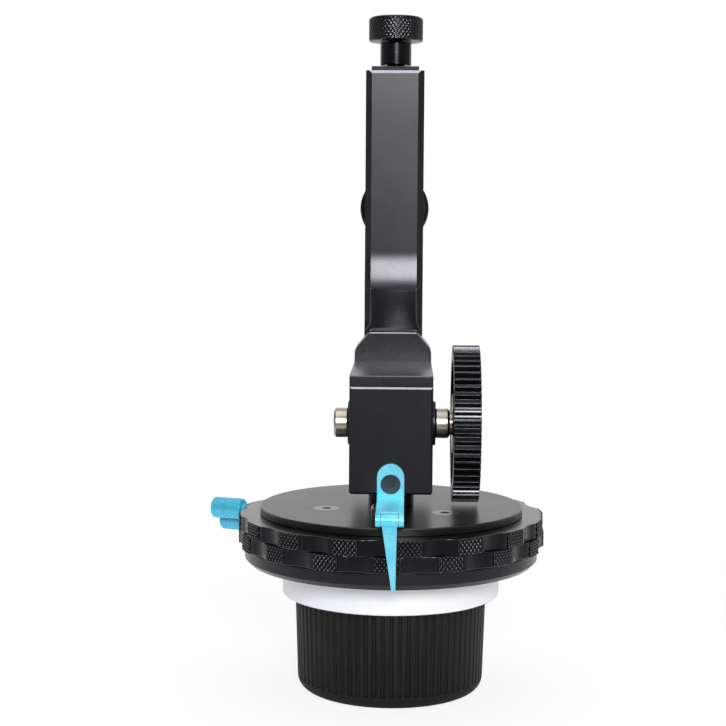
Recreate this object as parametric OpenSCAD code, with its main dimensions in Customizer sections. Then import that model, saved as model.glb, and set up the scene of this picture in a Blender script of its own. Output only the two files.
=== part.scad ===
// Follow focus unit: a handwheel with hard stops turns a drive gear through a
// right-angle gearbox, and an arm with a rod clamp holds it on a 15 mm rod.
// +Z runs up the handwheel's axis, from the face that the unit stands on.
// -Y is the front, where the pointer is, and the drive gear is on +X.

/* [Handwheel] */
// Radius of the ribbed grip at its upper end
grip_r = 29.4; // [27:0.1:31]
// Height of the grip
grip_h = 29.7; // [24:0.1:36]
// How much smaller the grip's radius is at its foot
grip_taper = 0.8; // [0:0.1:1.5]
// Radius of the rounded lower edge of the grip
grip_edge = 4; // [2:0.1:6]
// Thickness of the rubber
rubber_t = 3.5; // [2.5:0.1:5]
// Number of ribs round the grip
rib_count = 72; // [36:1:90]
// Depth of the grooves between the ribs
rib_depth = 0.5; // [0.3:0.05:0.9]
// Radius of the white marking disc
disc_r = 33.4; // [31.5:0.1:36]
// Height of the white marking disc
disc_h = 10; // [6:0.1:14]
// Radius of the black plate that carries the grip
wheel_plate_r = 45; // [42:0.1:46]
// Thickness of the black plate
wheel_plate_t = 5.1; // [4:0.1:7]

/* [Stop rings] */
// Outer radius of a stop ring, over its lands
ring_r = 46.9; // [45:0.1:49]
// Thickness of a stop ring
ring_t = 4.65; // [4:0.05:6]
// Number of lands round a stop ring
lobe_count = 16; // [10:1:20]
// Depth of the scallops between the lands
scallop_depth = 1.5; // [0.8:0.1:2.2]
// Width of a scallop
scallop_w = 11; // [8:0.1:12]
// Angle of the lands on the upper ring
upper_lobe_angle = 6.7; // [0:0.1:22]
// Angle of the lands on the lower ring
lower_lobe_angle = -0.6; // [-11:0.1:11]
// Radius of the fixed hub that the rings turn on
hub_r = 33; // [31:0.1:36]
// Sector that each ring can be set over
ring_sector = 60; // [30:1:70]
// Diameter of the blue locking screws
lock_d = 6.6; // [5:0.1:7]
// Radius that the locking screws reach to
lock_reach = 59.9; // [54:0.1:66]
// Angle of the upper locking screw
upper_lock_angle = 162; // [150:0.1:170]
// Angle of the lower locking screw
lower_lock_angle = 155.6; // [140:0.1:156]

/* [Top plate] */
// Radius of the grey top plate
plate_r = 40.3; // [37:0.1:43]
// Thickness of the grey top plate
plate_t = 2.2; // [1.8:0.1:3]
// Radius of the circle that its screws lie on
plate_screw_pcr = 20.9; // [16:0.1:24]
// Head diameter of its screws
plate_screw_head_d = 8.2; // [6:0.1:9]

/* [Gearbox] */
// Width of the gearbox
box_w = 24.6; // [23:0.1:28]
// Depth of the gearbox, front to back
box_d = 47; // [44:0.1:54]
// Height of the gearbox
box_h = 31.8; // [30:0.1:36]
// Diameter of the neck between gearbox and top plate
neck_d = 13.9; // [13:0.1:16]
// Length of the neck that shows
neck_h = 6.95; // [6:0.05:10]
// Height of the output shaft above the gearbox's lower face
shaft_rise = 18.4; // [17.5:0.1:19.5]
// Diameter of the handwheel's shaft
wheel_shaft_d = 6; // [5:0.1:6.5]
// Diameter of the output shaft
out_shaft_d = 8; // [7:0.1:8.2]
// Diameter of the steel ends of the output shaft
shaft_end_d = 9.1; // [8.8:0.1:10]
// Length of each steel end
shaft_end_l = 4.2; // [3.5:0.1:7]
// Diameter of the sockets in the shaft's ends
socket_d = 6; // [5:0.1:6.5]
// Depth of the sockets
socket_l = 9; // [6:0.1:10]
// Teeth on each mitre gear
mitre_teeth = 16; // [16:1:20]
// Pitch radius of the mitre gears
mitre_r = 8; // [7.8:0.1:8.2]

/* [Drive gear] */
// Number of teeth
gear_teeth = 58; // [40:1:58]
// Module of the teeth
gear_module = 0.8; // [0.5:0.05:0.8]
// Width of the gear
gear_w = 8.1; // [6:0.1:10]
// Gap between the shaft's end and the gear
gear_gap = 0.8; // [0.5:0.1:3]

/* [Pointer] */
// Width of the bracket
bracket_w = 8; // [7.5:0.1:10]
// Thickness of the bracket
bracket_t = 1.6; // [1.2:0.1:2]
// Height of the bracket's upright, from its bend to its top
bracket_h = 10.5; // [9.5:0.1:13]
// Distance of the needle's hinge from the handwheel's axis
needle_y = 47.9; // [47.9:0.1:50]
// Length of the needle below its hinge
needle_l = 20.3; // [14:0.1:22]
// Width of the needle at its root
needle_w = 4.1; // [3:0.1:4.8]
// Sideways offset of the needle's tip
tip_offset = 1.2; // [-1.5:0.1:1.5]

/* [Arm] */
// Width of the arm
arm_w = 18.9; // [18:0.1:24]
// Thickness of the foot on the gearbox
foot_t = 3.3; // [2.5:0.1:5]
// Height of the shoulder above the foot
shoulder_h = 9.5; // [8:0.1:14]
// Distance from the gearbox's top to the arm's top
arm_h = 96.8; // [92:0.1:120]
// Thickness of the upper arm
arm_t = 11; // [10:0.1:14]
// Width of the side bevels
bevel_w = 1.97; // [1:0.1:2.5]
// How far the upper arm is set back from the lower
jog = 1.4; // [1:0.1:4]
// How far the lower column's face curves back at its foot
lean = 1.2; // [0:0.1:2]

/* [Rod clamp] */
// Diameter of the support rod
rod_d = 15; // [12:0.5:15]
// Width of the clamp
clamp_w = 15.4; // [13:0.1:15.4]
// How far the clamp slides out of the arm
clamp_travel = 14; // [8:0.5:16]
// Diameter of the clamping screw's head
head_d = 18; // [14:0.1:20]
// Height of the clamping screw's head
head_h = 8.1; // [6:0.1:10]
// Diameter of the clamping screw's neck
screw_neck_d = 10.4; // [9:0.1:12]
// Length of the clamping screw's neck
screw_neck_l = 7.8; // [6:0.1:12]
// Diameter of the locking knob behind the arm
knob_d = 22.7; // [20:0.1:24]
// Thickness of the locking knob
knob_t = 8; // [6:0.1:10]

/* [Hidden] */
$fn = 96;
// Radial clearance of shafts, pins and rings that turn
run_gap = 0.05;
// Radial clearance of parts that are fixed together
seat_gap = 0.02;
// Gap between flat faces that slide past each other
face_gap = 0.15;
// Gap between parts that pass each other freely
free_gap = 0.3;
eps = 0.01;

// Levels up the handwheel's axis
z_disc = grip_h;
z_wheel_plate = z_disc + disc_h;
z_ring_lower = z_wheel_plate + wheel_plate_t + face_gap;
z_ring_upper = z_ring_lower + ring_t + face_gap;
z_plate = z_ring_upper + ring_t + face_gap;
z_neck = z_plate + plate_t;
z_box = z_neck + neck_h;
z_shaft = z_box + shaft_rise;
z_foot = z_box + box_h;
z_foot_top = z_foot + foot_t;
z_shoulder = z_foot_top + shoulder_h;
z_arm_top = z_foot + arm_h;

// Handwheel
core_r = grip_r - rubber_t;
core_wall = 3;
core_floor = 4;
core_z = 1.2;
boss_r = 7;
wheel_shaft_r = wheel_shaft_d/2;
wheel_bolt_l = 7;
z_shaft_foot = core_z + core_floor;
core_screw_pcr = 17;
core_screw_r = 1.5;
core_screw_head_r = 3;
core_screw_grip = 7;

// Hub, stops and neck
web_t = 2.6;
hub_wall = 3;
cavity_r = hub_r - hub_wall;
z_web = z_plate - web_t;
lug_w = 4;
lug_reach = cavity_r - 4;
dog_w = 4;
dog_r = cavity_r - 1;
dog_angle = 90;
neck_r = neck_d/2;
bush_r = wheel_shaft_r + 2;
bush_l = 6;
lock_screw_r = 1.5;
lock_neck_r = 1.9;
lock_neck_l = 2.6;
lug_pin_r = 0.8;
// The stops' lugs reach in through a window in the hub, and start at the two
// ends of the sector that they share
window_angle = 270;
window_half = ring_sector/2 + 7;
upper_lug_angle = window_angle - ring_sector/2;
lower_lug_angle = window_angle + ring_sector/2;
plate_screw_angle = 81;
button_r = 2;
button_place = [-3.9, -16.4];

// Gearbox
box_y = box_d/2;
box_x = box_w/2;
box_wall = 3.3;
carrier_t = 4;
carrier_x = box_x - box_wall;
carrier_y = 18;
cavity_y = 13;
z_carrier_top = z_box + carrier_t;
bearing_r = out_shaft_d/2 + 2;
flange_r = bearing_r + 0.8;
flange_t = 1.1;
out_r = out_shaft_d/2;
end_r = shaft_end_d/2;
x_end = box_x + flange_t + 0.1;
x_tip = x_end + shaft_end_l;
x_gear = x_tip + gear_gap;
spindle_r = 3;
spindle_neck_r = 3.6;
gear_screw_r = 1.5;
gear_screw_head_r = 4;
gear_screw_recess = 2.8;

// Mitre gears: equal straight bevel gears with a common apex
mitre_module = 2*mitre_r/mitre_teeth;
mitre_face = 4;
mitre_scale = 1 - mitre_face/(mitre_r*sqrt(2));
mitre_w = mitre_r*(1 - mitre_scale);
z_wheel_mitre = z_shaft - mitre_r;
z_wheel_shaft_top = z_wheel_mitre + mitre_w;

// Drive gear
gear_tip_r = gear_module*(gear_teeth + 2)/2;
gear_root_r = gear_module*(gear_teeth - 2.5)/2;

// Pointer
y_front = -box_y;
z_bend = z_box - 1.2;
z_leg = z_bend - bracket_t;
hinge_r = 1.9;
hinge_z = z_bend - hinge_r;
hinge_pin_r = 0.8;
ear_t = 1.5;
needle_t = 1.2;
needle_tip_w = 1.1;
bracket_screw_z = z_bend + bracket_h - bracket_w/2 - 2;
bracket_screw_gap = 0.3;
bracket_screw_l = box_y + bracket_t - carrier_y - bracket_screw_gap;

// Arm: front and back faces of the lower column and of the upper arm
lug_back = box_y + 14.5;
ledge = 8.1;
y_column = box_y + ledge;
y_upper = y_column + jog;
y_arm_back = y_upper + arm_t;
z_lug = z_shaft - 3;
z_jog = z_foot + 27;
jog_h = 11.5;
// Width and height of the slope at each corner of the shoulder
shoulder_cut = [5.4, 6.8];
shoulder_low_r = 3.6;
shoulder_high_r = 1.6;
arm_sink = 4;
foot_inset = 0.5;
foot_edge = 0.3;
flare_h = 4;
arm_screw_x = 7;
arm_screw_z = z_lug + 6;
arm_screw_r = 2;
arm_screw_head_r = 3.5;
arm_screw_recess = 4;
arm_screw_grip = 7.5;

// Rod clamp
groove_t = 6.4;
y_tongue = y_arm_back - groove_t + face_gap;
y_slide_back = y_arm_back + face_gap;
groove_w = clamp_w + 2*face_gap;
rod_seat_r = rod_d/2 + 0.05;
clamp_h = 30;
z_clamp_top = z_arm_top + 1.7;
clamp_upper_jaw = 10.5;
clamp_lower_jaw = 4.5;
rod_z = z_clamp_top - clamp_upper_jaw - rod_seat_r;
rod_y = y_slide_back + 9.3;
jaw_reach = 8.5;
z_clamp_foot = rod_z - rod_seat_r - clamp_lower_jaw;
tongue_screw_r = 1.25;
tongue_screw_head_r = 2.3;
tongue_screw_grip = 4.5;
clamp_screw_r = 3;
screw_advance = 1.2;
z_screw_neck = z_clamp_top + screw_advance + free_gap;
z_head = z_screw_neck + screw_neck_l;
pad_r = 4.4;
pad_t = 2.4;
pad_recess = pad_t + screw_advance;
z_pad = rod_z + rod_seat_r + screw_advance - 0.2;
knob_z = z_arm_top - 44.3;
stud_r = 2.5;
stud_front = 3;
slot_r = stud_r + free_gap;
z_slot_foot = knob_z - clamp_travel - 0.2;
z_tongue = z_slot_foot - slot_r - 4.5;
washer_t = 1;
washer_r = 6.5;
y_washer = y_slide_back + face_gap;
y_knob = y_washer + washer_t + face_gap;

BLACK = "#1c1c1e";
SATIN = "#2c2d30";
STEEL = "#c9c9cc";
BLUE = "#5fb9dc";
BRONZE = "#a97c4f";

// Places its children at count equal steps round +Z, starting at angle start
module ring_of(count, start = 0) {
    for (i = [0:count - 1])
        rotate([0, 0, start + i*360/count]) children();
}

// Cylinder along +X from x = from to x = to
module x_rod(r, from, to) {
    translate([from, 0, 0]) rotate([0, 90, 0]) cylinder(r = r, h = to - from);
}

// Cylinder along +Y from y = from to y = to
module y_rod(r, from, to) {
    translate([0, from, 0]) rotate([-90, 0, 0]) cylinder(r = r, h = to - from);
}

// Rod along +Z with a chamfered end at the top, at the foot or at both
module chamfered_rod(r, h, top = 0, foot = 0) {
    rotate_extrude()
        polygon([[0, 0], [r - foot, 0], [r, foot], [r, h - top], [r - top, h], [0, h]]);
}

// Countersunk screw with its flat head at z = 0 and its shank down -Z
module countersunk_screw(head_r, shank_r, length, socket_r) {
    difference() {
        union() {
            translate([0, 0, -head_r + shank_r])
                cylinder(r1 = shank_r, r2 = head_r, h = head_r - shank_r);
            translate([0, 0, -length]) cylinder(r = shank_r, h = length);
        }
        translate([0, 0, -1]) cylinder(r = socket_r, h = 2, $fn = 6);
    }
}

// The room that such a screw takes
module countersink(head_r, shank_r, length) {
    translate([0, 0, -head_r + shank_r])
        cylinder(r1 = shank_r + seat_gap, r2 = head_r + seat_gap, h = head_r - shank_r + eps);
    translate([0, 0, -length]) cylinder(r = shank_r + seat_gap, h = length);
}

// Socket head screw with its head above z = 0 and its shank down -Z
module cap_screw(head_r, head_h, shank_r, length) {
    difference() {
        union() {
            chamfered_rod(head_r, head_h, top = 0.3);
            translate([0, 0, -length]) cylinder(r = shank_r, h = length + eps);
        }
        translate([0, 0, head_h/2]) cylinder(r = head_r*0.5, h = head_h, $fn = 6);
    }
}

// Rubber sleeve of the grip, closed at its foot, before the ribs
module grip_blank() {
    foot_r = grip_r - grip_taper;
    rotate_extrude($fn = 144)
        difference() {
            union() {
                polygon([[0, 0], [foot_r - grip_edge, 0], [foot_r, grip_edge],
                    [grip_r, grip_h], [0, grip_h]]);
                translate([foot_r - grip_edge, grip_edge]) circle(r = grip_edge, $fn = 64);
            }
            translate([0, core_z]) square([core_r + seat_gap, grip_h]);
        }
}

module grip_rubber() {
    rib_r = rib_depth*1.1;
    lean = atan(grip_taper/(grip_h - grip_edge));
    color(BLACK)
    difference() {
        grip_blank();
        ring_of(rib_count, 90/rib_count)
            translate([grip_r - grip_taper + rib_r - rib_depth, 0, grip_edge])
                rotate([0, lean, 0])
                    cylinder(r = rib_r, h = grip_h, $fn = 16);
    }
}

// Where the screws from the wheel plate into the core's bosses start
module core_screw_places() {
    ring_of(3, 30) translate([core_screw_pcr, 0, z_wheel_plate]) children();
}

module grip_core() {
    boss_wall = 1.6;
    color(SATIN)
    difference() {
        union() {
            difference() {
                translate([0, 0, core_z]) cylinder(r = core_r, h = z_wheel_plate - core_z);
                translate([0, 0, z_shaft_foot])
                    cylinder(r = core_r - core_wall, h = z_wheel_plate);
            }
            translate([0, 0, core_z]) cylinder(r = boss_r, h = z_wheel_plate - core_z);
            core_screw_places() translate([0, 0, core_z - z_wheel_plate])
                cylinder(r = core_screw_r + boss_wall, h = z_wheel_plate - core_z);
        }
        translate([0, 0, z_shaft_foot + 2])
            cylinder(r = wheel_shaft_r + seat_gap, h = z_wheel_plate);
        cylinder(r = 2 + seat_gap, h = z_wheel_plate);
        translate([0, 0, core_z - 1]) cylinder(r = 4.2, h = z_shaft_foot - core_z + eps);
        core_screw_places() translate([0, 0, -core_screw_grip - 1])
            cylinder(r = core_screw_r + seat_gap, h = core_screw_grip + 2);
    }
}

module marking_disc() {
    edge = 0.4;
    color("white")
    rotate_extrude($fn = 144)
        polygon([[core_r + seat_gap, z_disc], [disc_r - edge, z_disc], [disc_r, z_disc + edge],
            [disc_r, z_wheel_plate - edge], [disc_r - edge, z_wheel_plate],
            [core_r + seat_gap, z_wheel_plate]]);
}

module wheel_plate() {
    edge = 1.5;
    color(BLACK)
    difference() {
        translate([0, 0, z_wheel_plate])
            rotate_extrude($fn = 180)
                polygon([[0, 0], [wheel_plate_r - edge, 0], [wheel_plate_r, edge],
                    [wheel_plate_r, wheel_plate_t - 0.3], [wheel_plate_r - 0.3, wheel_plate_t],
                    [0, wheel_plate_t]]);
        translate([0, 0, z_wheel_plate - 1])
            cylinder(r = wheel_shaft_r + seat_gap, h = wheel_plate_t + 2);
        core_screw_places() translate([0, 0, wheel_plate_t])
            countersink(core_screw_head_r, core_screw_r, wheel_plate_t + 1);
    }
}

module core_screws() {
    color(STEEL)
    core_screw_places() translate([0, 0, wheel_plate_t])
        countersunk_screw(core_screw_head_r, core_screw_r, wheel_plate_t + core_screw_grip, 1);
}

module wheel_shaft() {
    color(STEEL)
    difference() {
        translate([0, 0, z_shaft_foot + 2])
            chamfered_rod(wheel_shaft_r, z_wheel_shaft_top - z_shaft_foot - 2, top = 0.3);
        translate([0, 0, z_shaft_foot])
            cylinder(r = 2 + seat_gap, h = wheel_bolt_l + 1);
    }
}

module wheel_bolt() {
    head_h = z_shaft_foot - 1 - core_z;
    color(STEEL)
    translate([0, 0, z_shaft_foot - 1])
        mirror([0, 0, 1]) cap_screw(4, head_h, 2, wheel_bolt_l);
}

// Arm on the handwheel's shaft that meets the stops' lugs
module stop_dog() {
    dog_z = z_wheel_plate + wheel_plate_t + 0.6;
    dog_h = z_web - 0.5 - dog_z;
    color(STEEL)
    translate([0, 0, dog_z])
        difference() {
            union() {
                cylinder(r = boss_r, h = dog_h);
                rotate([0, 0, dog_angle]) translate([0, -dog_w/2, 0]) cube([dog_r, dog_w, dog_h]);
            }
            translate([0, 0, -1]) cylinder(r = wheel_shaft_r + seat_gap, h = dog_h + 2);
        }
}

// Outline of a straight bevel gear's large end, cut for a tooth on +X
module mitre_outline() {
    tip = mitre_r + 0.66*mitre_module;
    root = mitre_r - 0.86*mitre_module;
    step = 360/mitre_teeth;
    root_half = 0.29*step;
    tip_half = 0.11*step;
    polygon([for (i = [0:mitre_teeth - 1])
        for (p = [[root, -root_half], [tip, -tip_half], [tip, tip_half], [root, root_half]])
            p[0]*[cos(i*step + p[1]), sin(i*step + p[1])]]);
}

// Mitre gear with its large end at z = 0 and its apex at z = mitre_r
module mitre_gear(bore_r, hub_r, hub_h) {
    difference() {
        union() {
            linear_extrude(height = mitre_w, scale = mitre_scale) mitre_outline();
            translate([0, 0, -hub_h]) cylinder(r = hub_r, h = hub_h + eps);
        }
        translate([0, 0, -hub_h - 1]) cylinder(r = bore_r + seat_gap, h = hub_h + mitre_w + 2);
    }
}

module wheel_mitre_gear() {
    color(STEEL)
    translate([0, 0, z_wheel_mitre])
        rotate([0, 0, 180 + 180/mitre_teeth])
            mitre_gear(wheel_shaft_r, 5.5, z_wheel_mitre - z_carrier_top - 0.5);
}

// Fixed hub: a web under the top plate and a wall that the stop rings turn on,
// with a window at the front that the stops' lugs reach in through
module stop_hub() {
    wall_h = z_plate - z_ring_lower;
    reach = 2*hub_r;
    color(SATIN)
    translate([0, 0, z_ring_lower])
    difference() {
        cylinder(r = hub_r, h = wall_h);
        translate([0, 0, -1]) cylinder(r = cavity_r, h = z_web - z_ring_lower + 1);
        translate([0, 0, -1]) linear_extrude(height = z_web - z_ring_lower + 0.9)
            polygon([[0, 0], reach*[cos(window_angle - window_half), sin(window_angle - window_half)],
                [0, -2*reach], reach*[cos(window_angle + window_half), sin(window_angle + window_half)]]);
        translate([0, 0, -1]) cylinder(r = neck_r + seat_gap, h = wall_h + 2);
        plate_screw_places() translate([0, 0, -1])
            cylinder(r = 2 + seat_gap, h = wall_h + 2);
    }
}

module plate_screw_places() {
    ring_of(3, plate_screw_angle) translate([plate_screw_pcr, 0, 0]) children();
}

// Bearing carrier: a flange let into the gearbox's lower face, and the neck
module neck_carrier() {
    color(SATIN)
    difference() {
        union() {
            translate([0, 0, z_web]) cylinder(r = neck_r, h = z_carrier_top - z_web);
            translate([-carrier_x + seat_gap, -carrier_y + seat_gap, z_box])
                cube([2*(carrier_x - seat_gap), 2*(carrier_y - seat_gap), carrier_t]);
        }
        translate([0, 0, z_web - 1]) cylinder(r = bush_r + seat_gap, h = bush_l + 1.2);
        translate([0, 0, z_carrier_top - bush_l - 0.2])
            cylinder(r = bush_r + seat_gap, h = bush_l + 1.2);
        translate([0, 0, z_web - 1])
            cylinder(r = wheel_shaft_r + 0.6, h = z_carrier_top - z_web + 2);
        carrier_screw_places() mirror([0, 0, 1]) countersink(2.3, 1.25, carrier_t + 1);
    }
}

module carrier_screw_places() {
    for (x = [-1, 1], y = [-1, 1])
        translate([x*(carrier_x - 3), y*(carrier_y - 2.5), z_box]) children();
}

module carrier_screws() {
    color(STEEL)
    carrier_screw_places() mirror([0, 0, 1]) countersunk_screw(2.3, 1.25, carrier_t + 4, 0.8);
}

module bush() {
    color(BRONZE)
    difference() {
        cylinder(r = bush_r, h = bush_l);
        translate([0, 0, -1]) cylinder(r = wheel_shaft_r + run_gap, h = bush_l + 2);
    }
}

module lower_bush() {
    translate([0, 0, z_web]) bush();
}

module upper_bush() {
    translate([0, 0, z_carrier_top - bush_l]) bush();
}

module top_plate() {
    color(BLACK)
    difference() {
        translate([0, 0, z_plate])
            rotate_extrude($fn = 180)
                polygon([[0, 0], [plate_r, 0], [plate_r, plate_t - 0.3],
                    [plate_r - 0.3, plate_t], [0, plate_t]]);
        translate([0, 0, z_plate - 1]) cylinder(r = neck_r + seat_gap, h = plate_t + 2);
        translate([0, 0, z_neck]) plate_screw_places()
            countersink(plate_screw_head_d/2, 2, plate_t + 1);
        translate([button_place[0], button_place[1], z_plate + 1])
            cylinder(r = 1 + seat_gap, h = plate_t);
    }
}

module plate_screws() {
    color(STEEL)
    translate([0, 0, z_neck]) plate_screw_places()
        countersunk_screw(plate_screw_head_d/2, 2, plate_t + web_t, 1.5);
}

// Domed button beside the neck
module detent_button() {
    color(STEEL)
    translate([button_place[0], button_place[1], z_neck]) {
        translate([0, 0, -1]) cylinder(r = 1, h = 1 + eps);
        rotate_extrude()
            intersection() {
                union() {
                    square([button_r, 1.6]);
                    translate([0, 1.2]) circle(r = button_r, $fn = 48);
                }
                square([button_r, 3.2]);
            }
    }
}

// Plan of a stop ring: lands with scallops between them
module ring_outline(angle) {
    scallop_r = (pow(scallop_w/2, 2) + pow(scallop_depth, 2))/(2*scallop_depth);
    difference() {
        circle(r = ring_r, $fn = 180);
        ring_of(lobe_count, angle + 180/lobe_count)
            translate([ring_r - scallop_depth + scallop_r, 0]) circle(r = scallop_r, $fn = 96);
        circle(r = hub_r + run_gap, $fn = 144);
    }
}

// Height of a lug in the ring at level z, and the level of its pin
function lug_h(z) = min(ring_t - 0.4, z_web - 0.4 - z);
function lug_pin_z(z) = z + 0.2 + lug_h(z)/2;

module stop_ring(z, angle, lock_angle, lug_angle) {
    color(BLACK)
    difference() {
        translate([0, 0, z]) linear_extrude(height = ring_t) ring_outline(angle);
        rotate([0, 0, lock_angle]) translate([0, 0, z + ring_t/2])
            x_rod(lock_screw_r + run_gap, hub_r - 1, ring_r + 1);
        rotate([0, 0, lug_angle]) translate([0, 0, lug_pin_z(z)])
            x_rod(lug_pin_r + seat_gap, hub_r - 1, hub_r + 7);
    }
}

// Lug that reaches in through the hub's window, on a pin set in its ring
module stop_lug(z, angle) {
    color(STEEL)
    rotate([0, 0, angle]) {
        translate([lug_reach, -lug_w/2, z + 0.2])
            cube([hub_r - 0.1 - lug_reach, lug_w, lug_h(z)]);
        translate([0, 0, lug_pin_z(z)]) x_rod(lug_pin_r, hub_r - 1, hub_r + 6.8);
    }
}

// Locking screw along the radius: a shank in the ring, a neck and a round head
module lock_screw(z, angle) {
    head_x = ring_r + lock_neck_l;
    color(BLUE)
    translate([0, 0, z + ring_t/2])
        rotate([0, 0, angle]) {
            x_rod(lock_screw_r, hub_r + free_gap, head_x + 1);
            x_rod(lock_neck_r, ring_r + free_gap, head_x + 1);
            difference() {
                translate([head_x, 0, 0]) rotate([0, 90, 0])
                    chamfered_rod(lock_d/2, lock_reach - head_x, top = 0.5, foot = 0.5);
                x_rod(1.5, lock_reach - 1.2, lock_reach + 1);
            }
        }
}

module lower_stop_ring() {
    stop_ring(z_ring_lower, lower_lobe_angle - 90, lower_lock_angle, lower_lug_angle);
}

module lower_stop_lug() {
    stop_lug(z_ring_lower, lower_lug_angle);
}

module lower_lock_screw() {
    lock_screw(z_ring_lower, lower_lock_angle);
}

module upper_stop_ring() {
    stop_ring(z_ring_upper, upper_lobe_angle - 90, upper_lock_angle, upper_lug_angle);
}

module upper_stop_lug() {
    stop_lug(z_ring_upper, upper_lug_angle);
}

module upper_lock_screw() {
    lock_screw(z_ring_upper, upper_lock_angle);
}

// Box with its vertical edges and its upper edges bevelled by c
module bevelled_box(x, y, h, c) {
    intersection() {
        linear_extrude(height = h)
            polygon([[-x + c, -y], [x - c, -y], [x, -y + c], [x, y - c], [x - c, y],
                [-x + c, y], [-x, y - c], [-x, -y + c]]);
        rotate([90, 0, 0]) translate([0, 0, -y])
            linear_extrude(height = 2*y)
                polygon([[-x + c, 0], [x - c, 0], [x, c], [x, h], [-x, h], [-x, c]]);
        rotate([90, 0, 90]) translate([0, 0, -x])
            linear_extrude(height = 2*x)
                polygon([[-y + c, 0], [y - c, 0], [y, c], [y, h - c], [y - c, h],
                    [-y + c, h], [-y, h - c], [-y, c]]);
    }
}

module gearbox_housing() {
    edge = 0.6;
    color(BLACK)
    difference() {
        translate([0, 0, z_box]) bevelled_box(box_x, box_y, box_h, edge);
        translate([-carrier_x, -cavity_y, z_box + 1])
            cube([2*carrier_x, 2*cavity_y, box_h - box_wall - 1]);
        translate([-carrier_x, -carrier_y, z_box - 1])
            cube([2*carrier_x, 2*carrier_y, carrier_t + 1]);
        translate([0, 0, z_shaft]) x_rod(bearing_r + seat_gap, -box_x - 1, box_x + 1);
        carrier_screw_places() cylinder(r = 1.25 + seat_gap, h = carrier_t + 4.5);
        translate([0, 0, bracket_screw_z]) y_rod(1.5 + seat_gap, -box_y - 1, -carrier_y + 0.5);
        arm_screw_places()
            y_rod(arm_screw_r + seat_gap, box_y - arm_screw_grip - 0.5, box_y + 1);
    }
}

module bearing(side) {
    race = 0.3;
    color(STEEL)
    translate([0, 0, z_shaft]) mirror([side < 0 ? 1 : 0, 0, 0])
        difference() {
            x_rod(bearing_r, box_x - box_wall, box_x);
            x_rod(out_r + run_gap, 0, box_x + 1);
            for (x = [box_x - race, box_x - box_wall - 1])
                difference() {
                    x_rod(bearing_r - 0.6, x, x + 1);
                    x_rod(out_r + 0.6, x - 1, x + 3);
                }
        }
}

module left_bearing() {
    bearing(-1);
}

module right_bearing() {
    bearing(1);
}

module bearing_flange(side) {
    color(BLACK)
    translate([0, 0, z_shaft]) mirror([side < 0 ? 1 : 0, 0, 0])
        difference() {
            translate([box_x, 0, 0]) rotate([0, 90, 0])
                chamfered_rod(flange_r, flange_t, top = 0.25);
            x_rod(out_r + free_gap, 0, box_x + flange_t + 1);
        }
}

module left_bearing_flange() {
    bearing_flange(-1);
}

module right_bearing_flange() {
    bearing_flange(1);
}

module output_shaft() {
    color(STEEL)
    translate([0, 0, z_shaft])
    difference() {
        union() {
            x_rod(out_r, -x_end - eps, x_end + eps);
            for (side = [0, 1]) mirror([side, 0, 0])
                translate([x_end, 0, 0]) rotate([0, 90, 0])
                    chamfered_rod(end_r, shaft_end_l, top = 0.6, foot = 0.2);
        }
        for (side = [0, 1]) mirror([side, 0, 0])
            x_rod(socket_d/2, x_tip - socket_l, x_tip + 1);
    }
}

module shaft_mitre_gear() {
    color(STEEL)
    translate([-mitre_r, 0, z_shaft]) rotate([0, 90, 0])
        mitre_gear(out_r, 6.5, carrier_x - mitre_r - 0.4);
}

// Outline of a spur gear: each tooth narrows from its root to its tip
module gear_outline() {
    step = 360/gear_teeth;
    mid_r = gear_module*gear_teeth/2;
    polygon([for (i = [0:gear_teeth - 1])
        for (p = [[gear_root_r, -0.36], [mid_r, -0.25], [gear_tip_r, -0.12],
            [gear_tip_r, 0.12], [mid_r, 0.25], [gear_root_r, 0.36]])
            p[0]*[cos((i + p[1])*step), sin((i + p[1])*step)]]);
}

module drive_gear() {
    rim = 2.6;
    recess = 1;
    web_r = 9;
    color(BLACK)
    translate([x_gear, 0, z_shaft]) rotate([0, 90, 0])
    difference() {
        linear_extrude(height = gear_w) gear_outline();
        for (z = [-1, gear_w - recess])
            translate([0, 0, z])
                difference() {
                    cylinder(r = gear_root_r - rim, h = recess + 1, $fn = 144);
                    translate([0, 0, -1]) cylinder(r = web_r, h = recess + 3);
                }
        translate([0, 0, -1]) cylinder(r = spindle_r + seat_gap, h = gear_w + 2);
        translate([0, 0, gear_w - gear_screw_recess])
            cylinder(r = gear_screw_head_r + 0.2, h = gear_screw_recess + 1);
    }
}

module gear_spindle() {
    color(STEEL)
    translate([0, 0, z_shaft])
    difference() {
        union() {
            x_rod(socket_d/2 - seat_gap, x_tip - socket_l + 0.5, x_tip + eps);
            x_rod(spindle_neck_r, x_tip, x_gear);
            x_rod(spindle_r, x_gear - eps, x_gear + gear_w - gear_screw_recess - 0.1);
        }
        x_rod(gear_screw_r + seat_gap, x_gear - 2, x_gear + gear_w);
    }
}

module gear_screw() {
    color(STEEL)
    translate([x_gear + gear_w - gear_screw_recess, 0, z_shaft]) rotate([0, 90, 0])
        cap_screw(gear_screw_head_r, gear_screw_recess - 0.4, gear_screw_r, 6.5);
}

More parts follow.
